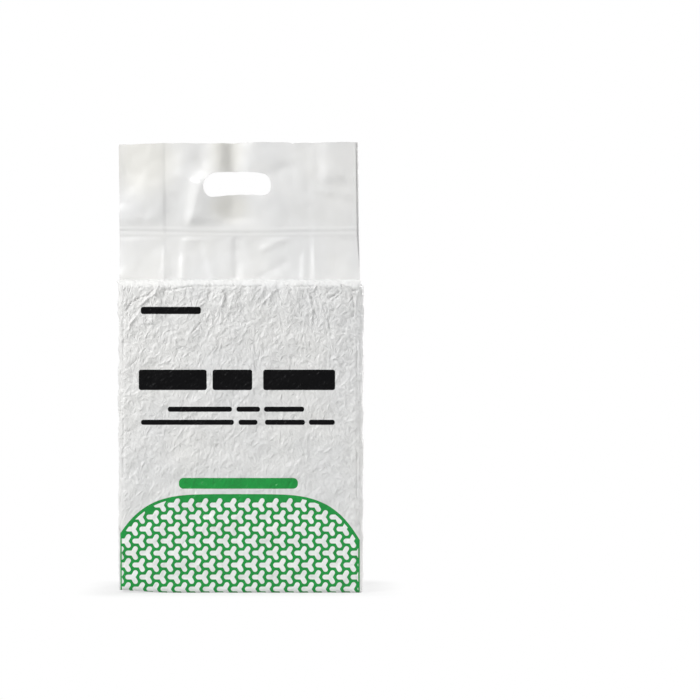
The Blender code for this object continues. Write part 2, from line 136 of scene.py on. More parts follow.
# Long curved creases of the front: places (x, z), half width, and height above or below the film
CREASES = (
    (((-0.0766, 0.289), (-0.0805, 0.2812), (-0.0883, 0.2757), (-0.096, 0.269)), 0.0012, 0.00085),
    (((-0.082, 0.2844), (-0.0875, 0.2797), (-0.0968, 0.2766), (-0.1031, 0.2726), (-0.107, 0.2657)),
     0.0011, -0.0009),
    (((-0.0991, 0.2579), (-0.1031, 0.2539), (-0.105, 0.247)), 0.0012, 0.0008),
    (((-0.0243, 0.2899), (-0.0173, 0.2844), (-0.0149, 0.2781), (-0.0173, 0.2711), (-0.018, 0.2539)),
     0.0013, 0.0009),
    (((-0.0711, 0.2854), (-0.0648, 0.2849), (-0.0477, 0.2882), (-0.0306, 0.2885)), 0.0011, -0.0011),
    (((-0.0306, 0.2885), (-0.0055, 0.289), (0.0101, 0.2875), (0.021, 0.289)), 0.0011, -0.0011),
    (((0.042, 0.289), (0.056, 0.2878), (0.07, 0.2888)), 0.0011, -0.001),
    (((0.096, 0.2893), (0.101, 0.2874), (0.106, 0.2846), (0.1105, 0.2843)), 0.0013, -0.0017),
    (((0.0835, 0.277), (0.0885, 0.28), (0.0935, 0.2835)), 0.0012, -0.0012),
    (((0.1065, 0.28), (0.1072, 0.27), (0.1065, 0.26)), 0.0012, -0.001),
    (((0.0865, 0.2742), (0.0959, 0.282)), 0.0011, -0.0009),
    (((-0.0664, 0.2555), (-0.0609, 0.247)), 0.0011, -0.0008),
    (((-0.0375, 0.254), (-0.0453, 0.2446)), 0.0012, -0.0009),
    (((-0.0766, 0.215), (-0.068, 0.2181), (-0.0602, 0.2126)), 0.0012, 0.0008),
    (((0.021, 0.2726), (0.0334, 0.2852), (0.0381, 0.2726)), 0.0012, 0.0009),
    (((0.061, 0.286), (0.065, 0.279), (0.0675, 0.265), (0.067, 0.253)), 0.0012, 0.0009),
    (((-0.0055, 0.2726), (0.0069, 0.2524)), 0.0012, 0.0008),
    (((0.0038, 0.2539), (0.0178, 0.2586)), 0.0011, -0.0009),
    (((0.0163, 0.243), (0.021, 0.2259)), 0.0012, 0.0008),
    (((0.089, 0.268), (0.083, 0.256), (0.085, 0.242)), 0.0012, -0.0007),
    (((0.095, 0.235), (0.09, 0.22), (0.096, 0.208)), 0.0012, 0.0006),
)

# Sums of waves: how many, spread of their spacing, range of their phases and what their sum is divided by
WAVE_COUNT = 9
WAVE_SPREAD = (0.75, 1.6)
WAVE_PHASES = 6.3
WAVE_DIVISOR = 3

# Relief of the block: its share at the foot, what the height adds, soft waves as height, spacing and seed,
# and the steep gathers below the shoulder
RELIEF_AT_FOOT = 0.6
RELIEF_ADDED = 0.5
RELIEF_HEIGHTS = (0.05, 0.27)
SOFT_WAVES = ((0.0007, 0.034, 3), (0.00035, 0.013, 5))
GATHER_WAVES = ((0.0005, 0.011, 9),)
GATHER_TRAVEL_SHARE = 0.25
GATHER_HEIGHTS = (0.245, 0.285)

# Ridge and valley beside each upright edge of the block, as middle and half width, and how their size swings
EDGE_RIDGE_HEIGHT = 0.0006
EDGE_RIDGE = (0.0019, 0.0014)
EDGE_VALLEY_DEPTH = 0.0008
EDGE_VALLEY = (0.0046, 0.0015)
EDGE_SWING = 0.4
EDGE_SWING_HEIGHT = 0.017
EDGE_SWING_AROUND = 0.1

# Where the relief is weaker: by how much, and over which distances from an edge, heights or tuck depths
WEB_RELIEF_ENDS = (0.02, 0.036)
GUSSET_RELIEF_ENDS = (0.0, 0.006)
EDGE_LOSS = 0.6
EDGE_LOSS_HALF_WIDTH = 0.003
FOOT_LOSS = 0.75
FOOT_LOSS_HEIGHTS = (0.002, 0.014)
CORNER_LOSS = 0.85
CORNER_LOSS_REACH = (0.012, 0.004)
CORNER_LOSS_START = 0.003
SHOULDER_LOSS = 0.4
SHOULDER_LOSS_PLACE = (0.006, 0.003)

# Soft folds of the header: start and end (x, z), half width on its left and right, push to the back, length
# over which it fades at its ends, and share of its size that is left at its second end
HEADER_STROKES = (
    ((-0.005, 0.44), (-0.005, 0.399), 0.0095, 0.012, 0.0054, 0.008, 1.0),
    ((-0.017, 0.44), (-0.018, 0.404), 0.008, 0.006, -0.001, 0.008, 1.0),
    ((-0.034, 0.43), (-0.035, 0.404), 0.011, 0.01, 0.0016, 0.01, 1.0),
    ((-0.048, 0.43), (-0.052, 0.4), 0.013, 0.01, -0.0008, 0.01, 1.0),
    ((0.0869, 0.44), (0.0869, 0.396), 0.0095, 0.017, -0.003, 0.008, 1.0),
    ((0.103, 0.44), (0.103, 0.392), 0.008, 0.008, 0.0004, 0.008, 1.0),
    ((-0.1, 0.368), (-0.055, 0.394), 0.018, 0.026, -0.003, 0.018, 1.0),
    ((-0.0345, 0.388), (-0.0465, 0.346), 0.011, 0.03, -0.009, 0.013, 0.45),
    ((-0.005, 0.384), (-0.005, 0.358), 0.012, 0.02, 0.0034, 0.012, 1.0),
    ((0.03, 0.398), (0.05, 0.405), 0.006, 0.009, 0.0012, 0.008, 1.0),
    ((0.04, 0.384), (0.062, 0.372), 0.014, 0.016, -0.0012, 0.012, 1.0),
    ((0.08, 0.382), (0.103, 0.378), 0.0045, 0.006, -0.0011, 0.008, 1.0),
    ((-0.0036, 0.336), (-0.0036, 0.29), 0.0034, 0.007, 0.0016, 0.008, 1.0),
    ((-0.0716, 0.318), (-0.0716, 0.29), 0.003, 0.004, -0.001, 0.008, 1.0),
    ((-0.0543, 0.314), (-0.0543, 0.29), 0.003, 0.005, -0.001, 0.008, 1.0),
    ((-0.032, 0.326), (-0.024, 0.29), 0.005, 0.006, -0.001, 0.008, 1.0),
    ((0.026, 0.327), (0.04, 0.334), 0.0034, 0.004, -0.0009, 0.008, 1.0),
    ((0.062, 0.316), (0.06, 0.29), 0.003, 0.004, -0.0009, 0.008, 1.0),
    ((0.072, 0.322), (0.072, 0.29), 0.003, 0.004, -0.0009, 0.008, 1.0),
    ((0.04, 0.31), (0.015, 0.296), 0.004, 0.005, 0.0009, 0.008, 1.0),
    ((-0.1, 0.33), (-0.1, 0.3), 0.02, 0.014, -0.0012, 0.01, 1.0),
)
HEADER_WAVES = ((0.0005, 0.03, 17), (0.00016, 0.012, 19))

# The header's left edge curls back above the seal
CURL_DEPTH = 0.0025
CURL_WIDTH = 0.022
CURL_INSET = 0.003
CURL_HEIGHTS = (0.35, 0.372)

# Where the folds are held: above and below the seal, with the share left inside it, and at the roof
FOLDS_ABOVE_SEAL = (-0.003, 0.01)
FOLDS_BELOW_SEAL = (0.0, 0.005)
FOLDS_IN_SEAL = 0.06
FOLDS_OFF_ROOF = (-0.003, 0.003)

# Heat-sealed band: its lips and pressed line, the ramps at its lower and upper end, and the reach of its sag
SEAL_LIP_HEIGHT = 0.00022
SEAL_LIP_RISE = 0.0022
SEAL_LINE_DEPTH = 0.00042
SEAL_LINE_DROP = 0.0004
SEAL_LINE_HALF_WIDTH = 0.0011
SEAL_RAMP_START = 0.0006
SEAL_LOWER_RAMP = 0.0004
SEAL_UPPER_RAMP = 0.0008
SEAL_SAG_HALF_WIDTH = 0.07

# Top edge: a dip at its left, a long and a short ripple, and a nick
TOP_DIP = 0.0014
TOP_DIP_END = 0.2 * HALF_WIDTH
TOP_WAVE = 0.0004
TOP_WAVE_SPACING = 0.09
TOP_RIPPLE = 0.00015
TOP_RIPPLE_SPACING = 0.0031
TOP_NICK = 0.0009
TOP_NICK_PLACE = (0.052, 0.0014)

# The front leaf slips in at its right end, and at the roof the header's relief takes over from the block's
LEAF_SLIP = 0.0024
LEAF_SLIP_WIDTH = 0.018
LEAF_SLIP_HEIGHT = 0.05
FOLDS_START = ROOF_HEIGHT - 0.002
ROOF_BLEND = 0.001

# The lifted foot corner fades along the foot, towards the back and up the wall
LIFT_LENGTH = 3 * LIFTED_CORNER_LENGTH
LIFT_DEPTH = 0.02
LIFT_HEIGHT = 0.03

# Edges sharper than this many degrees stay sharp
SHARP_ANGLE = 55


def smooth(low, high, value):
    share = np.clip((value - low) / (high - low), 0.0, 1.0)
    return share * share * (3 - 2 * share)


def bump(value, centre, half_width):
    return np.exp(-(((value - centre) / half_width) ** 2))


def gusset_columns():
    """Distances along half a gusset, close together at the web's edge, where the tuck's folds run."""
    angles = np.radians(SHOULDER_ANGLES)
    near = SHOULDER_RADIUS * (1 - np.cos(angles))
    return np.concatenate([near, np.linspace(SHOULDER_RADIUS, HALF_DEPTH, ROOF_CELLS + 1)[1:]])


def web_columns(cells):
    """Places across a web, close together beside its edges."""
    near = gusset_columns()[: len(SHOULDER_ANGLES)]
    inner = HALF_WIDTH - near[-1]
    middle = np.linspace(-inner, inner, cells + 1)[1:-1]
    return np.concatenate([near - HALF_WIDTH, middle, (HALF_WIDTH - near)[::-1]])


def back_columns():
    """Places across the back web, with those at the edges of its lap seam."""
    columns = web_columns(BACK_CELLS)
    seam = np.array([SEAM_WIDTH / 2, SEAM_WIDTH / 2 + SEAM_STEP])
    near_seam = np.abs(np.abs(columns) - seam.mean()) < SEAM_STEP
    return np.sort(np.concatenate([columns[~near_seam], -seam, seam]))


def roof_height(depth):
    arc_start = HALF_DEPTH - SHOULDER_RADIUS
    across = np.maximum(depth - arc_start, 0.0)
    arc = BLOCK_HEIGHT - SHOULDER_RADIUS + np.sqrt(np.maximum(SHOULDER_RADIUS**2 - across**2, 0.0))
    flat = BLOCK_HEIGHT + ROOF_RISE * np.maximum(1 - depth / arc_start, 0.0) ** ROOF_CROWN_POWER
    return np.where(depth > arc_start, arc, flat)


def rings():
    """What shapes a ring, as one value for each ring from the foot to the top edge."""
    foot = np.radians(np.linspace(0, 90, FOOT_CELLS + 1)[:-1])
    wall = np.linspace(FOOT_RADIUS, BLOCK_HEIGHT - SHOULDER_RADIUS, WALL_CELLS + 1)[:-1]
    tucks = gusset_columns()[:-1]
    fin = np.linspace(ROOF_HEIGHT, BAG_HEIGHT, HEADER_CELLS + 1)
    height = np.concatenate([FOOT_RADIUS * (1 - np.cos(foot)), wall, roof_height(HALF_DEPTH - tucks), fin])
    foot_depth = HALF_DEPTH - FOOT_RADIUS * (1 - np.sin(foot))
    wall_depth, fin_depth = np.full(len(wall), HALF_DEPTH), np.full(len(fin), CENTRE_THICKNESS / 2)
    depth = np.concatenate([foot_depth, wall_depth, HALF_DEPTH - tucks, fin_depth])
    low = len(foot) + len(wall)
    tuck = np.concatenate([np.zeros(low), tucks, np.full(len(fin), HALF_DEPTH)])
    corner = CORNER_RADIUS * np.clip(1 - 2 * tuck / CORNER_RADIUS, 0.0, 1.0)
    corner[: len(foot)] *= 0.5 + 0.5 * np.sin(foot)
    layer = LEAF_THICKNESS * np.minimum(tuck / CORNER_RADIUS, 1.0)
    foot_share = np.zeros(len(height))
    foot_share[: len(foot)] = 1 - np.sin(foot)
    header = smooth(HEADER_START_SHARE * HALF_DEPTH, HALF_DEPTH, tuck)
    travel = np.concatenate([[0.0], np.cumsum(np.hypot(np.diff(height), np.diff(depth)))])
    rise, inwards = np.gradient(height), -np.gradient(depth)
    rise[low + len(tucks) :], inwards[low + len(tucks) :] = 1.0, 0.0
    length = np.hypot(rise, inwards)
    values = (height, depth, tuck, corner, layer, foot_share, header, travel, rise / length, inwards / length)
    names = "height depth tuck corner layer foot header travel outward upward".split()
    return {name: value[:, None] for name, value in zip(names, values)}


def tent(ring):
    """How far a web stands out below the seal, where it runs down to the edge of the block."""
    below_seal = smooth(SEAL_BOTTOM - TENT_START, ROOF_HEIGHT - TENT_REACH, ring["height"])
    return TENT_DEPTH * below_seal * smooth(TENT_REACH, 0.0, ring["depth"])


def web_points(ring, columns, side):
    across = np.broadcast_to(columns, (len(ring["height"]), len(columns)))
    half_width = HALF_WIDTH - FOOT_SIDE_INSET * ring["foot"]
    radius = np.maximum(ring["corner"], TINY_LENGTH)
    angle = math.pi / 4 * (1 - np.minimum((HALF_WIDTH - np.abs(across)) / radius, 1.0))
    turned = np.sign(across) * (half_width - radius + radius * np.sin(angle))
    x = np.where(angle > 0, turned, across * half_width / HALF_WIDTH)
    softness = np.where(across > 0, RIGHT_FOLD_SOFTNESS, FOLD_SOFTNESS)
    leaf = smooth(0.0, 1.0, (np.abs(across) - FOLD_LINE) / softness + 1.0)
    depth = ring["depth"] + ring["header"] * leaf * (LEAF_FACE - CENTRE_THICKNESS / 2)
    depth = depth - radius * (1 - np.cos(angle)) + tent(ring)
    return np.stack([x, side * depth, np.broadcast_to(ring["height"], x.shape)], axis=2)


def gusset_points(ring, side_across, side):
    along = np.broadcast_to(gusset_columns()[1:], (len(ring["height"]), len(gusset_columns()) - 1))
    beyond = along - ring["tuck"]
    depth = ring["depth"] - np.maximum(beyond, 0.0) + ring["header"] * (LEAF_FACE - CENTRE_THICKNESS / 2)
    inset = np.minimum(along, ring["tuck"])
    radius = np.maximum(ring["corner"], TINY_LENGTH)
    angle = math.pi / 4 * (1 + np.minimum(along / radius, 1.0))
    turning = along < radius
    x = np.where(turning, HALF_WIDTH - radius + radius * np.sin(angle) - inset, HALF_WIDTH - inset)
    depth = np.where(turning, ring["depth"] - radius + radius * np.cos(angle), depth)
    layer = ring["layer"] + TUCK_GAP * (1 - ring["header"]) * smooth(0.0, CORNER_RADIUS, beyond)
    layer = np.where(ring["tuck"] > 0, layer, 0.0)
    depth = depth - ring["outward"] * layer
    z = ring["height"] - ring["upward"] * layer
    x = x - FOOT_SIDE_INSET * ring["foot"]
    middle = along >= HALF_DEPTH - TINY_LENGTH
    depth = np.where(middle, 0.0, depth)
    crease = SIDE_CREASE_DEPTH * bump(along, HALF_DEPTH, SIDE_CREASE_HALF_WIDTH)
    crease = crease + SIDE_HOLLOW_DEPTH * bump(along, HALF_DEPTH, SIDE_HOLLOW_HALF_WIDTH)
    on_wall = 1 - smooth(0.0, SIDE_CREASE_END, ring["tuck"])
    on_block = smooth(0.0, SIDE_CREASE_START, ring["height"]) * on_wall
    x = x - crease * on_block
    return np.stack([side_across * x, side * depth, z], axis=2)


def stroke(field, start, end, half_width, height, taper=STROKE_TAPER):
    """Raises or sinks a round-ended line between two places (around, travel) of the map, by taper less at its
    ends. around runs round."""
    rows, columns = field.shape
    reach = half_width + MAP_CELL
    low_row = max(int((min(start[1], end[1]) - reach) / MAP_CELL), 0)
    high_row = min(int((max(start[1], end[1]) + reach) / MAP_CELL) + 2, rows)
    low_column = int(math.floor((min(start[0], end[0]) - reach) / MAP_CELL))
    high_column = int((max(start[0], end[0]) + reach) / MAP_CELL) + 2
    if high_row <= low_row:
        return
    places = np.arange(low_column, high_column)
    across = places[None, :] * MAP_CELL - start[0]
    up = np.arange(low_row, high_row)[:, None] * MAP_CELL - start[1]
    direction = np.array(end) - np.array(start)
    length = float(np.hypot(*direction))
    along = np.clip((across * direction[0] + up * direction[1]) / length**2, 0.0, 1.0)
    distance = np.hypot(across - along * direction[0], up - along * direction[1])
    fall = 1 - taper * (2 * along - 1) ** 2
    shape = height * fall * np.clip(1 - (distance / half_width) ** 2, 0.0, 1.0)
    window = field[low_row:high_row, places % columns]
    field[low_row:high_row, places % columns] = window + shape if height < 0 else np.maximum(window, shape)


def scatter(field, random, count, lengths, half_widths, heights, tilt, spread, low=0.0, high=None):
    """Strews lines over the map between two heights, leaning by tilt give or take spread."""
    rows, columns = field.shape
    high = rows * MAP_CELL if high is None else high
    for _ in range(count):
        middle = np.array([random.uniform(0, columns * MAP_CELL), random.uniform(low, high)])
        angle = random.normal(tilt, spread)
        half = random.uniform(*lengths) / 2 * np.array([math.cos(angle), math.sin(angle)])
        stroke(field, middle - half, middle + half, random.uniform(*half_widths), random.uniform(*heights))


def film_map(height):
    """Relief of the film drawn over pressed pellets, unrolled: rows up the pack, columns round it."""
    random = np.random.default_rng(MAP_SEED)
    around = 2 * (BAG_WIDTH + BAG_DEPTH)
    shape = (int(height / MAP_CELL) + 2, int(round(around / MAP_CELL)))
    pellets = np.zeros(shape)
    scatter(pellets, random, *PELLETS)
    ridges = np.zeros(shape)
    scatter(ridges, random, *SHORT_RIDGES)
    scatter(ridges, random, *LONG_RIDGES)
    valleys = np.zeros(shape)
    scatter(valleys, random, *VALLEYS)
    top = SHOULDER_RIDGE_TOP
    scatter(ridges, random, *SHOULDER_RIDGES, top - SHOULDER_RIDGE_REACH, top)
    relief = pellets + ridges + valleys
    wall_start = FOOT_RADIUS * (math.pi / 2 - 1)
    for places, half_width, rise in CREASES:
        spots = [(x + HALF_WIDTH, z + wall_start) for x, z in places]
        for start, end in zip(spots, spots[1:]):
            crease = np.zeros(shape)
            stroke(crease, start, end, half_width, rise, taper=0.0)
            relief = relief + crease
    return relief


def waves(first, second, spacing, seed):
    random = np.random.default_rng(seed)
    total = np.zeros(np.broadcast(first, second).shape)
    for _ in range(WAVE_COUNT):
        angle = random.uniform(0, math.pi)
        number = 2 * math.pi / (spacing * random.uniform(*WAVE_SPREAD))
        along = first * math.cos(angle) + second * math.sin(angle)
        total += np.cos(number * along + random.uniform(0, WAVE_PHASES))
    return np.tanh(total / WAVE_DIVISOR)


def wave_sum(first, second, rows):
    """Waves of several kinds, one above the other, from rows of height, spacing and seed."""
    return sum(height * waves(first, second, spacing, seed) for height, spacing, seed in rows)


def sample(field, around, travel):
    """The map's height at each place, shared out between the four cells round it."""
    rows, columns = field.shape
    across, up = around / MAP_CELL, np.minimum(travel / MAP_CELL, rows - 2)
    column, row = np.floor(across).astype(int), np.floor(up).astype(int)
    across, up = across - column, up - row
    left, right = column % columns, (column + 1) % columns
    lower = field[row, left] * (1 - across) + field[row, right] * across
    upper = field[row + 1, left] * (1 - across) + field[row + 1, right] * across
    return lower * (1 - up) + upper * up


def around_places(front, back, gusset):
    """Each column's distance round the pack from the front's left edge."""
    width, depth = BAG_WIDTH, BAG_DEPTH
    runs = [front + HALF_WIDTH, width + gusset, width + depth - gusset[-2::-1]]
    runs += [width + depth + HALF_WIDTH - back[::-1], 2 * width + depth + gusset]
    runs += [2 * width + 2 * depth - gusset[-2::-1]]
    return np.concatenate(runs)


def block_relief(ring, around, on_web):
    """How far the film stands out over the litter, for each ring and column."""
    travel = ring["travel"]
    field = film_map(float(travel[ring["tuck"] < HALF_DEPTH].max()) + MAP_MARGIN)
    grid_around, grid_travel = np.broadcast_arrays(around[None, :], travel)
    height = np.broadcast_to(ring["height"], grid_around.shape)
    fine = sample(field, grid_around, grid_travel)
    strength = RELIEF_AT_FOOT + RELIEF_ADDED * smooth(*RELIEF_HEIGHTS, height)
    soft = wave_sum(grid_around, grid_travel, SOFT_WAVES)
    gather = wave_sum(grid_around, GATHER_TRAVEL_SHARE * grid_travel, GATHER_WAVES)
    gather = gather * smooth(*GATHER_HEIGHTS, height)
    tuck = np.broadcast_to(ring["tuck"], height.shape)
    under = np.where(on_web, 1 - smooth(*WEB_RELIEF_ENDS, tuck), 1 - smooth(*GUSSET_RELIEF_ENDS, tuck))
    place = np.mod(around, BAG_WIDTH + BAG_DEPTH)
    from_edge = np.minimum(np.abs(place), np.abs(BAG_WIDTH - place))
    phase = height / EDGE_SWING_HEIGHT + 2 * np.sin(around[None, :] / EDGE_SWING_AROUND)
    swing = 1 - EDGE_SWING + EDGE_SWING * np.sin(phase)
    valley = EDGE_VALLEY_DEPTH * bump(from_edge, *EDGE_VALLEY)
    edge = (EDGE_RIDGE_HEIGHT * bump(from_edge, *EDGE_RIDGE) - valley)[None, :] * swing * on_web
    near_edge = 1 - EDGE_LOSS * bump(from_edge, 0.0, EDGE_LOSS_HALF_WIDTH)
    near_foot = 1 - FOOT_LOSS + FOOT_LOSS * smooth(*FOOT_LOSS_HEIGHTS, height)
    in_corner = smooth(*CORNER_LOSS_REACH, from_edge)[None, :]
    off_ear = 1 - CORNER_LOSS * in_corner * smooth(0.0, CORNER_LOSS_START, tuck)
    on_shoulder = 1 - SHOULDER_LOSS * bump(tuck, *SHOULDER_LOSS_PLACE)
    return under * near_foot * off_ear * on_shoulder * (near_edge * (strength * fine + soft + gather) + edge)


def header_push(x, z):
    """How far the header's folds push it back."""
    total = np.zeros(np.broadcast(x, z).shape)
    for (start_x, start_z), (end_x, end_z), left, right, push, fade, far_share in HEADER_STROKES:
        run, climb = end_x - start_x, end_z - start_z
        length = math.hypot(run, climb)
        along = ((x - start_x) * run + (z - start_z) * climb) / length
        outside = np.maximum(np.maximum(-along, along - length), 0.0)
        side = ((x - start_x) * climb - (z - start_z) * run) / length
        side = side if climb > 0 or (climb == 0 and run > 0) else -side
        share = 1 - (1 - far_share) * np.clip(along / length, 0.0, 1.0)
        width = np.where(side < 0, left, right) * share
        total += push * share * np.exp(-((side / width) ** 2)) * np.exp(-((outside / fade) ** 2))
    total += wave_sum(x, z, HEADER_WAVES)
    curl = CURL_DEPTH * smooth(CURL_WIDTH, 0.0, HALF_WIDTH + x - CURL_INSET) * smooth(*CURL_HEIGHTS, z)
    off_seal = smooth(*FOLDS_ABOVE_SEAL, z - SEAL_TOP) + smooth(*FOLDS_BELOW_SEAL, SEAL_BOTTOM - z)
    return (total + curl) * np.clip(off_seal, FOLDS_IN_SEAL, 1.0) * smooth(*FOLDS_OFF_ROOF, z - ROOF_HEIGHT)


def seal_relief(x, z):
    """Outward relief of the heat-sealed band, with a pressed line and a lip along its sagging middle."""
    middle = (SEAL_BOTTOM + SEAL_TOP) / 2 - SEAL_SAG * bump(x, 0.0, SEAL_SAG_HALF_WIDTH) + SEAL_SAG / 2
    started = smooth(SEAL_BOTTOM - SEAL_RAMP_START, SEAL_BOTTOM + SEAL_LOWER_RAMP, z)
    band = started * (1 - smooth(SEAL_TOP - SEAL_RAMP_START, SEAL_TOP + SEAL_UPPER_RAMP, z))
    line = SEAL_LINE_DEPTH * bump(z, middle - SEAL_LINE_DROP, SEAL_LINE_HALF_WIDTH)
    lip = SEAL_LIP_HEIGHT * bump(z, middle + SEAL_LIP_RISE, SEAL_LINE_HALF_WIDTH)
    return SEAL_LIP_HEIGHT * band - line + lip


def lean(z):
    share = smooth(BLOCK_HEIGHT - SHOULDER_RADIUS, ROOF_HEIGHT, z)
    upper = np.clip((z - ROOF_HEIGHT) / (BAG_HEIGHT - ROOF_HEIGHT), 0.0, 1.0)
    return share * (HEADER_LEAN_LOW + (HEADER_LEAN_TOP - HEADER_LEAN_LOW) * upper)


def top_edge_rise(x):
    dip = -TOP_DIP * (1 - smooth(-HALF_WIDTH, TOP_DIP_END, x))
    wave = TOP_WAVE * np.sin(2 * math.pi * x / TOP_WAVE_SPACING)
    ripple = TOP_RIPPLE * np.sin(x / TOP_RIPPLE_SPACING)
    return dip + wave + ripple - TOP_NICK * bump(x, *TOP_NICK_PLACE)


def skin():
    """The skin's points as rows and columns, the run that each column is part of, and the rings."""
    ring = rings()
    front, back, gusset = web_columns(FRONT_CELLS), back_columns(), gusset_columns()[1:]
    parts = [
        web_points(ring, front, -1),
        gusset_points(ring, 1, -1),
        gusset_points(ring, 1, 1)[:, -2::-1],
        web_points(ring, back, 1)[:, ::-1],
        gusset_points(ring, -1, 1),
        gusset_points(ring, -1, -1)[:, -2::-1],
    ]
    points = np.concatenate(parts, axis=1)
    sizes = [part.shape[1] for part in parts]
    kind = np.repeat(np.arange(len(parts)), sizes)
    around = around_places(front, back, gusset)
    on_front, on_back = kind == FRONT_COLUMNS, kind == BACK_COLUMNS
    on_web = on_front | on_back
    across = np.roll(points, -1, axis=1) - np.roll(points, 1, axis=1)
    upwards = np.gradient(points, axis=0)
    normal = np.cross(across, upwards)
    normal /= np.maximum(np.linalg.norm(normal, axis=2, keepdims=True), TINY_AREA)
    relief = block_relief(ring, around, on_web[None, :])
    seam = 1 - smooth(SEAM_WIDTH / 2, SEAM_WIDTH / 2 + SEAM_STEP, np.abs(points[..., 0]))
    seam = SEAM_THICKNESS * seam * on_back * smooth(0.0, FOOT_RADIUS, ring["height"])
    in_header = smooth(ROOF_HEIGHT - ROOF_BLEND, ROOF_HEIGHT + ROOF_BLEND, ring["height"])
    points += normal * (relief + seam)[..., None] * (1 - in_header)[..., None]
    points[..., 1] += in_header * seam
    outwards = np.where(on_front, -1, np.where(on_back, 1, 0))
    points[..., 1] += outwards * in_header * seal_relief(points[..., 0], ring["height"])
    lift_foot_corner(points)
    hang_header(points, kind)
    return points, kind, ring


def lift_foot_corner(points):
    reach = smooth(0.0, 1.0, (-points[..., 0] - HALF_WIDTH + LIFT_LENGTH) / LIFT_LENGTH)
    reach = reach * smooth(LIFT_DEPTH, -LIFT_DEPTH, points[..., 1])
    near_foot = 1 - smooth(0.0, LIFT_HEIGHT, points[..., 2])
    points[..., 2] += LIFTED_CORNER_HEIGHT * reach * near_foot


def hang_header(points, kind):
    x, z = points[..., 0].copy(), points[..., 2].copy()
    on_leaf = np.isin(kind, (FRONT_COLUMNS, RIGHT_FRONT_COLUMNS))
    slip = LEAF_SLIP * smooth(HALF_WIDTH - LEAF_SLIP_WIDTH, HALF_WIDTH, x) * on_leaf
    in_header = smooth(ROOF_HEIGHT, ROOF_HEIGHT + LEAF_SLIP_HEIGHT, z)
    points[..., 0] += lean(z) - slip * in_header
    points[..., 1] += np.where(z > FOLDS_START, header_push(x, z), 0.0)
    points[..., 2] += top_edge_rise(x) * smooth(SEAL_TOP, BAG_HEIGHT, z)


def mesh_from(name, vertices, faces, materials):
    """A mesh of triangles with a material index for each."""
    mesh = bpy.data.meshes.new(name)
    mesh.vertices.add(len(vertices))
    mesh.vertices.foreach_set("co", np.ascontiguousarray(vertices, np.float32).ravel())
    mesh.loops.add(faces.size)
    mesh.loops.foreach_set("vertex_index", np.ascontiguousarray(faces, np.int32).ravel())
    mesh.polygons.add(len(faces))
    mesh.polygons.foreach_set("loop_start", np.arange(0, faces.size, faces.shape[1], dtype=np.int32))
    mesh.polygons.foreach_set("material_index", np.ascontiguousarray(materials, np.int32))
    mesh.update(calc_edges=True)
    return mesh


def cap(points, order):
    """Triangles that close a ring of points, as rows of places in the ring."""
    model = bmesh.new()
    verts = [model.verts.new(points[i]) for i in order]
    model.verts.index_update()
    face = model.faces.new(verts)
    made = bmesh.ops.triangulate(model, faces=[face], ngon_method="EAR_CLIP")["faces"]
    model.verts.index_update()
    rows = np.array([[order[v.index] for v in f.verts] for f in made])
    model.free()
    return rows


def lace(x, near, far):
    """Triangles between two rows that run to the right, near in front of far, by the shorter step."""
    faces, low, high = [], 0, 0
    while low < len(near) - 1 or high < len(far) - 1:
        near_next = x[near[low + 1]] if low < len(near) - 1 else math.inf
        far_next = x[far[high + 1]] if high < len(far) - 1 else math.inf
        if near_next <= far_next:
            faces.append((near[low], near[low + 1], far[high]))
            low += 1
        else:
            faces.append((near[low], far[high + 1], far[high]))
            high += 1
    return [face for face in faces if len(set(face)) == 3]


def top_edge_faces(x, sizes):
    """Triangles that close the top edge over the webs and the gusset leaves."""
    starts = np.cumsum([0, *sizes])
    runs = [list(range(start, end)) for start, end in zip(starts, starts[1:])]
    front, right_front, right_back, back, left_back, left_front = runs
    back = back[::-1]
    right_front = right_front[::-1] + [front[-1]]
    right_back = [right_front[0]] + right_back + [back[-1]]
    left_back = [back[0]] + left_back
    left_front = [front[0]] + left_front[::-1] + [left_back[-1]]
    left_fold, right_fold = x[left_back[-1]], x[right_front[0]]
    ends = []
    for row in (front, back):
        left = max(i for i in range(len(row)) if x[row[i]] <= left_fold)
        right = min(i for i in range(len(row)) if x[row[i]] >= right_fold)
        ends.append((left, right))
    (front_left, front_right), (back_left, back_right) = ends
    faces = lace(x, front[: front_left + 1], left_front) + lace(x, left_back, back[: back_left + 1])
    faces += lace(x, front[front_right:], right_front) + lace(x, right_back, back[back_right:])
    faces += lace(x, front[front_left + 1 : front_right], back[back_left + 1 : back_right])
    near, near_fold = front[front_right - 1], front[front_right]
    far, far_fold = back[back_right - 1], back[back_right]
    across = right_front[0]
    faces += [(near, near_fold, across), (near, across, far), (far, across, far_fold)]
    near, near_fold = front[front_left + 1], front[front_left]
    far, far_fold = back[back_left + 1], back[back_left]
    across = left_back[-1]
    faces += [(across, near_fold, near), (far, across, near), (far_fold, across, far)]
    return np.array(faces)


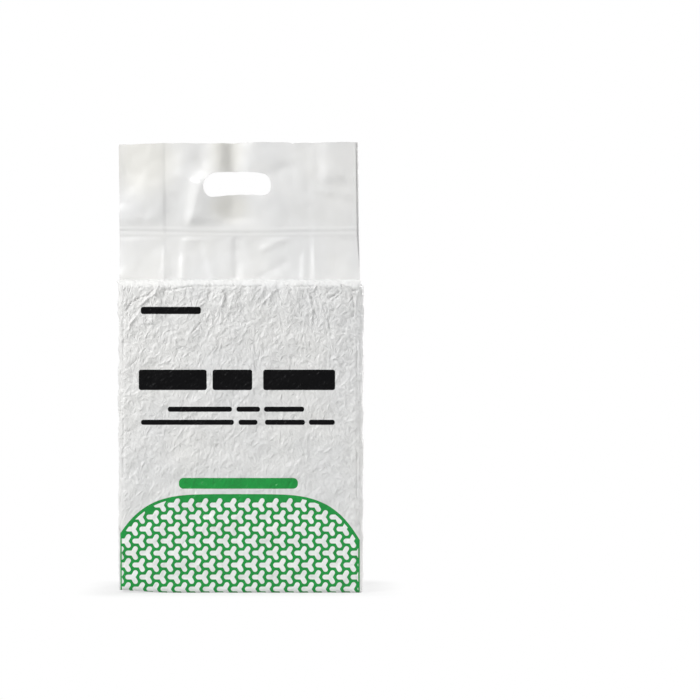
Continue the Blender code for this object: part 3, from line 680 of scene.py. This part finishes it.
def whole_skin():
    """The closed skin as one mesh, with each face's piece as its material index."""
    points, kind, ring = skin()
    rows, columns = points.shape[:2]
    index = np.arange(rows * columns).reshape(rows, columns)
    near, far = index[:-1], index[1:]
    near_next, far_next = np.roll(near, -1, axis=1), np.roll(far, -1, axis=1)
    sizes = np.bincount(kind)
    inwards = np.abs(points[-1, :, 0] - lean(BAG_HEIGHT))
    rising = np.broadcast_to(np.roll(inwards, -1) > inwards, near.shape)[..., None]
    upper_first, upper_second = np.stack([near_next, far_next, far], 2), np.stack([near_next, far, near], 2)
    lower_first, lower_second = np.stack([near, near_next, far_next], 2), np.stack([near, far_next, far], 2)
    first, second = np.where(rising, upper_first, lower_first), np.where(rising, upper_second, lower_second)
    in_front = np.arange(columns) < sizes[FRONT_COLUMNS] - 1
    piece = np.broadcast_to(np.where(in_front, FRONT_PIECE, WALL_PIECE), near.shape).copy()
    header_row = np.searchsorted(ring["height"][:, 0], ROOF_HEIGHT - TINY_LENGTH)
    piece[header_row:] = HEADER_PIECE
    bottom = cap(points[0], list(range(columns))[::-1])
    top = top_edge_faces(points[-1, :, 0], sizes) + (rows - 1) * columns
    faces = np.concatenate([first.reshape(-1, 3), second.reshape(-1, 3), bottom, top])
    ends = [np.full(len(bottom), WALL_PIECE), np.full(len(top), HEADER_PIECE)]
    pieces = np.concatenate([piece.ravel(), piece.ravel(), *ends])
    return mesh_from("whole_skin", points.reshape(-1, 3), faces, pieces)


def slot_outline():
    radius = SLOT_HEIGHT / 2
    reach = SLOT_LENGTH / 2 - radius
    turn = np.linspace(-math.pi / 2, math.pi / 2, SLOT_POINTS)
    across, up = np.abs(np.cos(turn)), np.sin(turn)
    squarer = np.sign(up) * np.abs(up) ** SLOT_SQUARENESS
    outline = list(zip(reach + radius * across**SLOT_SQUARENESS, radius * squarer))
    outline += [(x, radius) for x in np.linspace(reach, -reach, SLOT_POINTS)[1:-1]]
    outline += list(zip(-reach - radius * across, -radius * up))
    outline += [(x, -radius) for x in np.linspace(-reach, reach, SLOT_POINTS)[1:-1]]
    shaped = []
    for x, z in outline:
        share = 2 * x / SLOT_LENGTH
        bow = SLOT_ARCH * (1 - share**2) - SLOT_ARCH / 2
        hang = SLOT_SKEW * share if z < 0 else 0.0
        shaped.append((x, z + bow + hang + SLOT_RIPPLE * math.sin(x / SLOT_RIPPLE_SPACING)))
    return shaped


def slot_cutter():
    height = BAG_HEIGHT - SLOT_DROP
    centre = float(lean(np.array(height))) + SLOT_OFFSET
    outline = [(centre + x, height + z) for x, z in slot_outline()]
    count = len(outline)
    vertices = np.array([(x, y, z) for y in (-SLOT_CUTTER_REACH, SLOT_CUTTER_REACH) for x, z in outline])
    order = np.arange(count)
    following = (order + 1) % count
    lower = np.stack([order, following, following + count], 1)
    sides = np.concatenate([lower, np.stack([order, following + count, order + count], 1)])
    front = cap(vertices[:count], list(range(count)))
    faces = np.concatenate([sides, front[:, ::-1], front + count])
    mesh = mesh_from("slot_cutter", vertices, faces, np.full(len(faces), HEADER_PIECE))
    tidy = bmesh.new()
    tidy.from_mesh(mesh)
    bmesh.ops.recalc_face_normals(tidy, faces=tidy.faces)
    tidy.to_mesh(mesh)
    tidy.free()
    return bpy.data.objects.new("slot_cutter", mesh)


def cut_skin(materials):
    """The skin with its slot punched."""
    body = bpy.data.objects.new("whole_skin", whole_skin())
    cutter = slot_cutter()
    for made in (body, cutter):
        bpy.context.scene.collection.objects.link(made)
        for material in materials:
            made.data.materials.append(material)
    punch = body.modifiers.new("slot", "BOOLEAN")
    punch.operation = "DIFFERENCE"
    punch.solver = "MANIFOLD"
    punch.object = cutter
    bpy.context.view_layer.update()
    mesh = bpy.data.meshes.new_from_object(body.evaluated_get(bpy.context.evaluated_depsgraph_get()))
    bpy.data.objects.remove(body)
    bpy.data.objects.remove(cutter)
    mesh.shade_smooth()
    mesh.set_sharp_from_angle(angle=math.radians(SHARP_ANGLE))
    return mesh


def read_all(items, attribute, kind, width=1):
    values = np.zeros(len(items) * width, kind)
    items.foreach_get(attribute, values)
    return values.reshape(-1, width).squeeze()


def take_piece(mesh, name, index, material):
    """One piece's faces, with the whole skin's normals, so that no line shows where pieces meet."""
    starts = read_all(mesh.polygons, "loop_start", np.int32)
    totals = read_all(mesh.polygons, "loop_total", np.int32)
    pieces = read_all(mesh.polygons, "material_index", np.int32)
    corners = read_all(mesh.loops, "vertex_index", np.int32)
    places = read_all(mesh.vertices, "co", np.float32, 3)
    normals = read_all(mesh.corner_normals, "vector", np.float32, 3)
    chosen = np.flatnonzero(pieces == index)
    loops = np.concatenate([np.arange(starts[i], starts[i] + totals[i]) for i in chosen])
    used, local = np.unique(corners[loops], return_inverse=True)
    made = bpy.data.meshes.new(name)
    made.vertices.add(len(used))
    made.vertices.foreach_set("co", places[used].ravel())
    made.loops.add(len(loops))
    made.loops.foreach_set("vertex_index", local.astype(np.int32))
    made.polygons.add(len(chosen))
    firsts = np.concatenate([[0], np.cumsum(totals[chosen])[:-1]])
    made.polygons.foreach_set("loop_start", firsts.astype(np.int32))
    made.update(calc_edges=True)
    made.shade_smooth()
    made.normals_split_custom_set(normals[loops])
    made.materials.append(material)
    piece = bpy.data.objects.new(name, made)
    bpy.context.scene.collection.objects.link(piece)
    return piece


# Edges of the print fade over this distance
PRINT_SOFTNESS = 0.00014


class Field:
    """A number at each point of a surface, made by Math nodes."""

    def __init__(self, tree, socket):
        self.tree, self.socket = tree, socket

    def math(self, operation, *others, clamp=False):
        node = self.tree.nodes.new("ShaderNodeMath")
        node.operation = operation
        node.use_clamp = clamp
        for socket, value in zip(node.inputs, (self, *others)):
            if isinstance(value, Field):
                self.tree.links.new(value.socket, socket)
            else:
                socket.default_value = value
        return Field(self.tree, node.outputs[0])

    def __add__(self, other):
        return self.math("ADD", other)

    def __sub__(self, other):
        return self.math("SUBTRACT", other)

    def __mul__(self, other):
        return self.math("MULTIPLY", other)

    def __abs__(self):
        return self.math("ABSOLUTE")

    def __pow__(self, power):
        return self.math("POWER", power)

    def low(self, other):
        return self.math("MINIMUM", other)

    def high(self, other):
        return self.math("MAXIMUM", other)

    def held(self, low, high):
        return self.math("MAXIMUM", low).math("MINIMUM", high)

    def hypot(self, other):
        return (self * self + other * other).math("SQRT")

    def wrapped(self, period, centre):
        return self.math("WRAP", centre + period / 2, centre - period / 2)

    def inside(self, softness=PRINT_SOFTNESS):
        """1 where this distance is below zero, 0 where it is above."""
        node = self.tree.nodes.new("ShaderNodeMapRange")
        node.interpolation_type = "SMOOTHSTEP"
        self.tree.links.new(self.socket, node.inputs["Value"])
        node.inputs["From Min"].default_value = -softness
        node.inputs["From Max"].default_value = softness
        node.inputs["To Min"].default_value = 1.0
        node.inputs["To Max"].default_value = 0.0
        return Field(self.tree, node.outputs["Result"])


# Green field at the foot of the front: its outer edge falls away from the middle as a power of the distance
ARCH_CENTRE = -0.0022
ARCH_TOP = 0.0931
ARCH_HALF_WIDTH = 0.1138
ARCH_DROP = 0.042
ARCH_POWER = 4.6
ARCH_RIM = 0.0021
FIELD_CENTRE = -0.0003
FIELD_HALF_WIDTH = 0.1127
FIELD_SIDE_RIM = 0.0015

# White three-armed cells: spacing across and up, arm length, rounding, and one centre of their lattice
CELL_PERIOD = 0.01324
CELL_ROW = 0.01129
CELL_ARM = 0.0048
CELL_RADIUS = 0.00228
CELL_FIRST_ROW = 0.0828
CELL_FIRST_CENTRE = -0.0613
ARM_ACROSS = math.cos(math.radians(60))
ARM_UP = math.sin(math.radians(60))

# Painted shade on the header: darker, warmer film where its folds and panels lie in shade, at places given as
# middle, and half sizes across and up
FOLD_SHADE_FILM = (0.76, 0.75, 0.705)
FOLD_SHADE_SHARE = 0.8
FOLD_SHADE_SOFTNESS = 0.6
FOLD_SHADE_PLACES = (
    ((-0.095, 0.41), (0.03, 0.03)),
    ((-0.016, 0.42), (0.014, 0.026)),
    ((-0.012, 0.366), (0.016, 0.014)),
)

# Pellets under the film: how they are turned, the size of one across, in depth and along, the scale, detail,
# roughness and distortion of their noise, and what is left of them at the foot and over the shoulder
PELLET_TURNS = (-0.95, -0.35, 0.25, 0.85)
PELLET_CELL = (0.0026, 0.003, 0.0085)
PELLET_NOISE = (1.0, 1.0, 0.45, 0.3)
PELLETS_LEFT = 0.4
PELLET_TOP = BLOCK_HEIGHT - 0.004
PELLET_TOP_SOFTNESS = 0.002

# Film: its two whites, mixed by a noise of this scale and detail, and how rough and glossy it is
COOL_FILM = (0.77, 0.772, 0.77)
PALE_FILM = (0.8, 0.798, 0.785)
TONE_NOISE = (14.0, 2.0)
TONE_START = 0.38
TONE_GAIN = 4.0
FILM_ROUGHNESS = 0.34
PRINTED_ROUGHNESS = 0.36
INK_ROUGHNESS_CHANGE = -0.06
DARK_GLOSS_CHANGE = -0.2

GREEN = (0.01, 0.3, 0.052)
WHITE_INK = (0.885, 0.905, 0.89)
INK = (0.004, 0.004, 0.0045)

# Plain dark bars of the front, row by row: height, half height, and middle and half width of each bar
BAR_ROWS = (
    (0.2005, 0.0096, ((-0.0635, 0.0319), (-0.0074, 0.0186), (0.0554, 0.0338))),
    (0.1729, 0.0024, ((-0.038, 0.0302), (0.0075, 0.0111), (0.0412, 0.0189))),
    (0.1606, 0.0024, ((-0.0497, 0.0437), (0.0073, 0.0089), (0.042, 0.0188), (0.0767, 0.0122))),
    (0.2658, 0.0034, ((-0.0653, 0.0282),)),
)
BAR_RADIUS = 0.0022

# Green pill: middle, and half sizes across and up
PILL = ((-0.0018, 0.1032), (0.056, 0.0051))
PILL_RADIUS = 0.0045

# Films: name, whether each is printed and has painted shade on its folds, depth of the pellets under it, and
# gloss
FILMS = (
    ("printed_film", True, False, 0.0025, 0.25),
    ("plain_film", False, False, 0.0025, 0.25),
    ("header_film", False, True, 0.00008, 0.45),
)
PIECES = (("front_film", FRONT_PIECE), ("side_and_back_film", WALL_PIECE), ("header_film", HEADER_PIECE))

# Studio: floor, world, camera, and lamps as name, place, target, size across and up, and power
FLOOR_SIZE = 24
FLOOR_DROP = 0.0001
FLOOR_TONE = (0.7, 0.7, 0.7, 1)
FLOOR_SHADE = 0.3
FLOOR_SHADE_REACH = 0.022
WORLD_STRENGTH = 0.17
LENS = 110.4
CAMERA_PLACE = (0.1032, -HALF_DEPTH - 2.019, 0.2286)
LAMPS = (
    ("key", (-1.35, -1.15, 1.48), (0, 0, 0.22), (0.5, 0.5), 36),
    ("fill", (1.3, -1.9, 0.9), (0, 0, 0.22), (1.4, 1.4), 5),
    ("overhead", (0.0, -0.1, 1.7), (0, 0, 0.2), (1.0, 0.6), 5),
    ("side", (1.7, -0.05, 0.75), (0, 0, 0.22), (0.6, 0.6), 10),
    ("back", (1.25, 1.45, 0.95), (0, 0, 0.22), (0.7, 0.7), 21),
)


def block_bar(x, z, place, half, radius):
    across = (abs(x - place[0]) - (half[0] - radius)).high(0.0)
    up = (abs(z - place[1]) - (half[1] - radius)).high(0.0)
    return across.hypot(up) - radius


def above_arch(x, z, inset):
    """How far a place lies above the arched edge of the green field, or above one inside it."""
    offset = abs(x - ARCH_CENTRE) + inset
    return z + (offset * (1 / ARCH_HALF_WIDTH)) ** ARCH_POWER * ARCH_DROP - (ARCH_TOP - inset)


def three_armed(x, z, shift_x, shift_z):
    """The three-armed cells of a rectangular lattice whose centres lie in the green field."""
    middle = -CELL_ARM / 4
    across = (x - (CELL_FIRST_CENTRE + shift_x)).wrapped(CELL_PERIOD, middle)
    up = (z - (CELL_FIRST_ROW + shift_z)).wrapped(2 * CELL_ROW, 0.0)
    half_up = abs(up)
    left = (across - across.held(-CELL_ARM, 0.0)).hypot(half_up)
    along = (across * ARM_ACROSS + half_up * ARM_UP).held(0.0, CELL_ARM)
    right = (across - along * ARM_ACROSS).hypot(half_up - along * ARM_UP)
    cell = left.low(right) - CELL_RADIUS
    return cell.inside() * above_arch(x - across, z - up, 0.0).inside()


def print_masks(tree, x, z):
    """The white cells, the green field and pill, and the dark bars."""
    beside = abs(x - FIELD_CENTRE) - FIELD_HALF_WIDTH
    within = above_arch(x, z, ARCH_RIM).high(beside + FIELD_SIDE_RIM)
    cells = three_armed(x, z, 0.0, 0.0).high(three_armed(x, z, CELL_PERIOD / 2, CELL_ROW))
    white = cells * within.inside()
    green = above_arch(x, z, 0.0).high(beside).inside() * (white * -1 + 1)
    green = green.high(block_bar(x, z, *PILL, PILL_RADIUS).inside())
    dark = None
    for height, half_height, bars in BAR_ROWS:
        for middle, half_width in bars:
            radius = min(half_height, BAR_RADIUS)
            bar = block_bar(x, z, (middle, height), (half_width, half_height), radius)
            dark = bar if dark is None else dark.low(bar)
    return white, green, dark.inside()


def mix_colour(tree, share, first, second):
    node = tree.nodes.new("ShaderNodeMix")
    node.data_type = "RGBA"
    for socket, value in ((node.inputs["Factor"], share), (node.inputs[6], first), (node.inputs[7], second)):
        if isinstance(value, Field):
            tree.links.new(value.socket, socket)
        elif isinstance(value, bpy.types.NodeSocket):
            tree.links.new(value, socket)
        else:
            socket.default_value = (*value, 1.0)
    return node.outputs[2]


def noise(tree, vector, scale, detail, rough=0.5, distortion=0.0):
    node = tree.nodes.new("ShaderNodeTexNoise")
    node.inputs["Scale"].default_value = scale
    node.inputs["Detail"].default_value = detail
    node.inputs["Roughness"].default_value = rough
    node.inputs["Distortion"].default_value = distortion
    tree.links.new(vector, node.inputs["Vector"])
    return Field(tree, node.outputs["Fac"])


def pressed_pellets(tree, place, z):
    """Height of the pellets that press into the film: short strokes in several directions."""
    total = None
    for turn in PELLET_TURNS:
        turned = tree.nodes.new("ShaderNodeMapping")
        turned.vector_type = "TEXTURE"
        turned.inputs["Location"].default_value = (turn, turn, turn)
        turned.inputs["Rotation"].default_value = (0.0, turn, 0.0)
        turned.inputs["Scale"].default_value = PELLET_CELL
        tree.links.new(place, turned.inputs["Vector"])
        strokes = noise(tree, turned.outputs["Vector"], *PELLET_NOISE)
        total = strokes if total is None else total.high(strokes)
    upper = z.math("MULTIPLY", 1 / BLOCK_HEIGHT, clamp=True)
    below_shoulder = (z - PELLET_TOP).inside(PELLET_TOP_SOFTNESS)
    added = 1 - PELLETS_LEFT
    return total * (upper * added + PELLETS_LEFT) * (below_shoulder * added + PELLETS_LEFT)


def film_material(name, printed, fold_shade_painted, crinkle, gloss):
    material = bpy.data.materials.new(name)
    material.use_nodes = True
    tree = material.node_tree
    shader = tree.nodes["Principled BSDF"]
    shader.inputs["Specular IOR Level"].default_value = gloss
    shader.inputs["Roughness"].default_value = FILM_ROUGHNESS
    coordinates = tree.nodes.new("ShaderNodeTexCoord")
    place = coordinates.outputs["Object"]
    split = tree.nodes.new("ShaderNodeSeparateXYZ")
    tree.links.new(place, split.inputs[0])
    x, z = Field(tree, split.outputs["X"]), Field(tree, split.outputs["Z"])
    tone = noise(tree, place, *TONE_NOISE)
    tone = tone.math("SUBTRACT", TONE_START).math("MULTIPLY", TONE_GAIN, clamp=True)
    colour = mix_colour(tree, tone, COOL_FILM, PALE_FILM)
    # Painted shade: darker, warmer film where the header's folds lie in shade
    if fold_shade_painted:
        for (shade_x, shade_z), (half_x, half_z) in FOLD_SHADE_PLACES:
            reach = ((x - shade_x) * (1 / half_x)).hypot((z - shade_z) * (1 / half_z)) - 1.0
            colour = mix_colour(tree, reach.inside(FOLD_SHADE_SOFTNESS) * FOLD_SHADE_SHARE, colour, FOLD_SHADE_FILM)
    if printed:
        white, green, dark = print_masks(tree, x, z)
        colour = mix_colour(tree, white, colour, WHITE_INK)
        colour = mix_colour(tree, green, colour, GREEN)
        colour = mix_colour(tree, dark, colour, INK)
        rough = green.high(dark) * INK_ROUGHNESS_CHANGE + PRINTED_ROUGHNESS
        tree.links.new((dark * DARK_GLOSS_CHANGE + gloss).socket, shader.inputs["Specular IOR Level"])
        tree.links.new(rough.socket, shader.inputs["Roughness"])
    tree.links.new(colour, shader.inputs["Base Color"])
    fine = pressed_pellets(tree, place, z)
    relief = tree.nodes.new("ShaderNodeBump")
    relief.inputs["Distance"].default_value = crinkle
    tree.links.new(fine.socket, relief.inputs["Height"])
    tree.links.new(relief.outputs["Normal"], shader.inputs["Normal"])
    return material


def white_for_the_eye(tree):
    """1 for the rays that see the backdrop: camera, mirror and clear ones."""
    path = tree.nodes.new("ShaderNodeLightPath")
    eye = Field(tree, path.outputs["Is Camera Ray"])
    for kind in ("Is Glossy Ray", "Is Transmission Ray"):
        eye = eye.high(Field(tree, path.outputs[kind]))
    return eye


def build_world(strength):
    world = bpy.data.worlds.new("studio")
    bpy.context.scene.world = world
    world.use_nodes = True
    tree = world.node_tree
    back = tree.nodes["Background"]
    back.inputs["Color"].default_value = (1, 1, 1, 1)
    level = white_for_the_eye(tree) * (1 - strength) + strength
    tree.links.new(level.socket, back.inputs["Strength"])


def build_floor():
    bpy.ops.mesh.primitive_plane_add(size=FLOOR_SIZE, location=(0, 0, -FLOOR_DROP))
    floor = bpy.context.object
    floor.name = "floor"
    material = bpy.data.materials.new("floor")
    material.use_nodes = True
    tree = material.node_tree
    tree.nodes.remove(tree.nodes["Principled BSDF"])
    diffuse = tree.nodes.new("ShaderNodeBsdfDiffuse")
    diffuse.inputs["Color"].default_value = FLOOR_TONE
    glow = tree.nodes.new("ShaderNodeEmission")
    coordinates = tree.nodes.new("ShaderNodeTexCoord")
    split = tree.nodes.new("ShaderNodeSeparateXYZ")
    tree.links.new(coordinates.outputs["Object"], split.inputs[0])
    x, y = Field(tree, split.outputs["X"]), Field(tree, split.outputs["Y"])
    reach = (abs(x) - HALF_WIDTH).high(0.0).hypot((abs(y) - HALF_DEPTH).high(0.0))
    near = (reach - FLOOR_SHADE_REACH).inside(FLOOR_SHADE_REACH)
    share = white_for_the_eye(tree) * (near * -FLOOR_SHADE + 1.0)
    mix = tree.nodes.new("ShaderNodeMixShader")
    tree.links.new(share.socket, mix.inputs["Fac"])
    tree.links.new(diffuse.outputs[0], mix.inputs[1])
    tree.links.new(glow.outputs[0], mix.inputs[2])
    tree.links.new(mix.outputs[0], tree.nodes["Material Output"].inputs["Surface"])
    floor.data.materials.append(material)


def area_light(name, place, target, size, power):
    light = bpy.data.lights.new(name, "AREA")
    light.shape = "RECTANGLE"
    light.size, light.size_y = size
    light.energy = power
    lamp = bpy.data.objects.new(name, light)
    lamp.location = place
    way = np.array(target) - np.array(place)
    tilt = math.atan2(math.hypot(way[0], way[1]), -way[2])
    lamp.rotation_euler = (tilt, 0.0, math.atan2(way[1], way[0]) - math.pi / 2)
    lamp.visible_camera = False
    bpy.context.scene.collection.objects.link(lamp)


def build_camera():
    camera = bpy.data.cameras.new("camera")
    camera.lens = LENS
    holder = bpy.data.objects.new("camera", camera)
    holder.location = CAMERA_PLACE
    holder.rotation_euler = (math.pi / 2, 0, 0)
    bpy.context.scene.collection.objects.link(holder)
    bpy.context.scene.camera = holder


bpy.context.scene.view_settings.view_transform = "Standard"
build_camera()
build_world(WORLD_STRENGTH)
build_floor()
for lamp in LAMPS:
    area_light(*lamp)

films = [film_material(*film) for film in FILMS]
skin_mesh = cut_skin(films)
for name, index in PIECES:
    piece = take_piece(skin_mesh, name, index, films[index])
    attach(piece, "root")
    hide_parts("litter_bag")
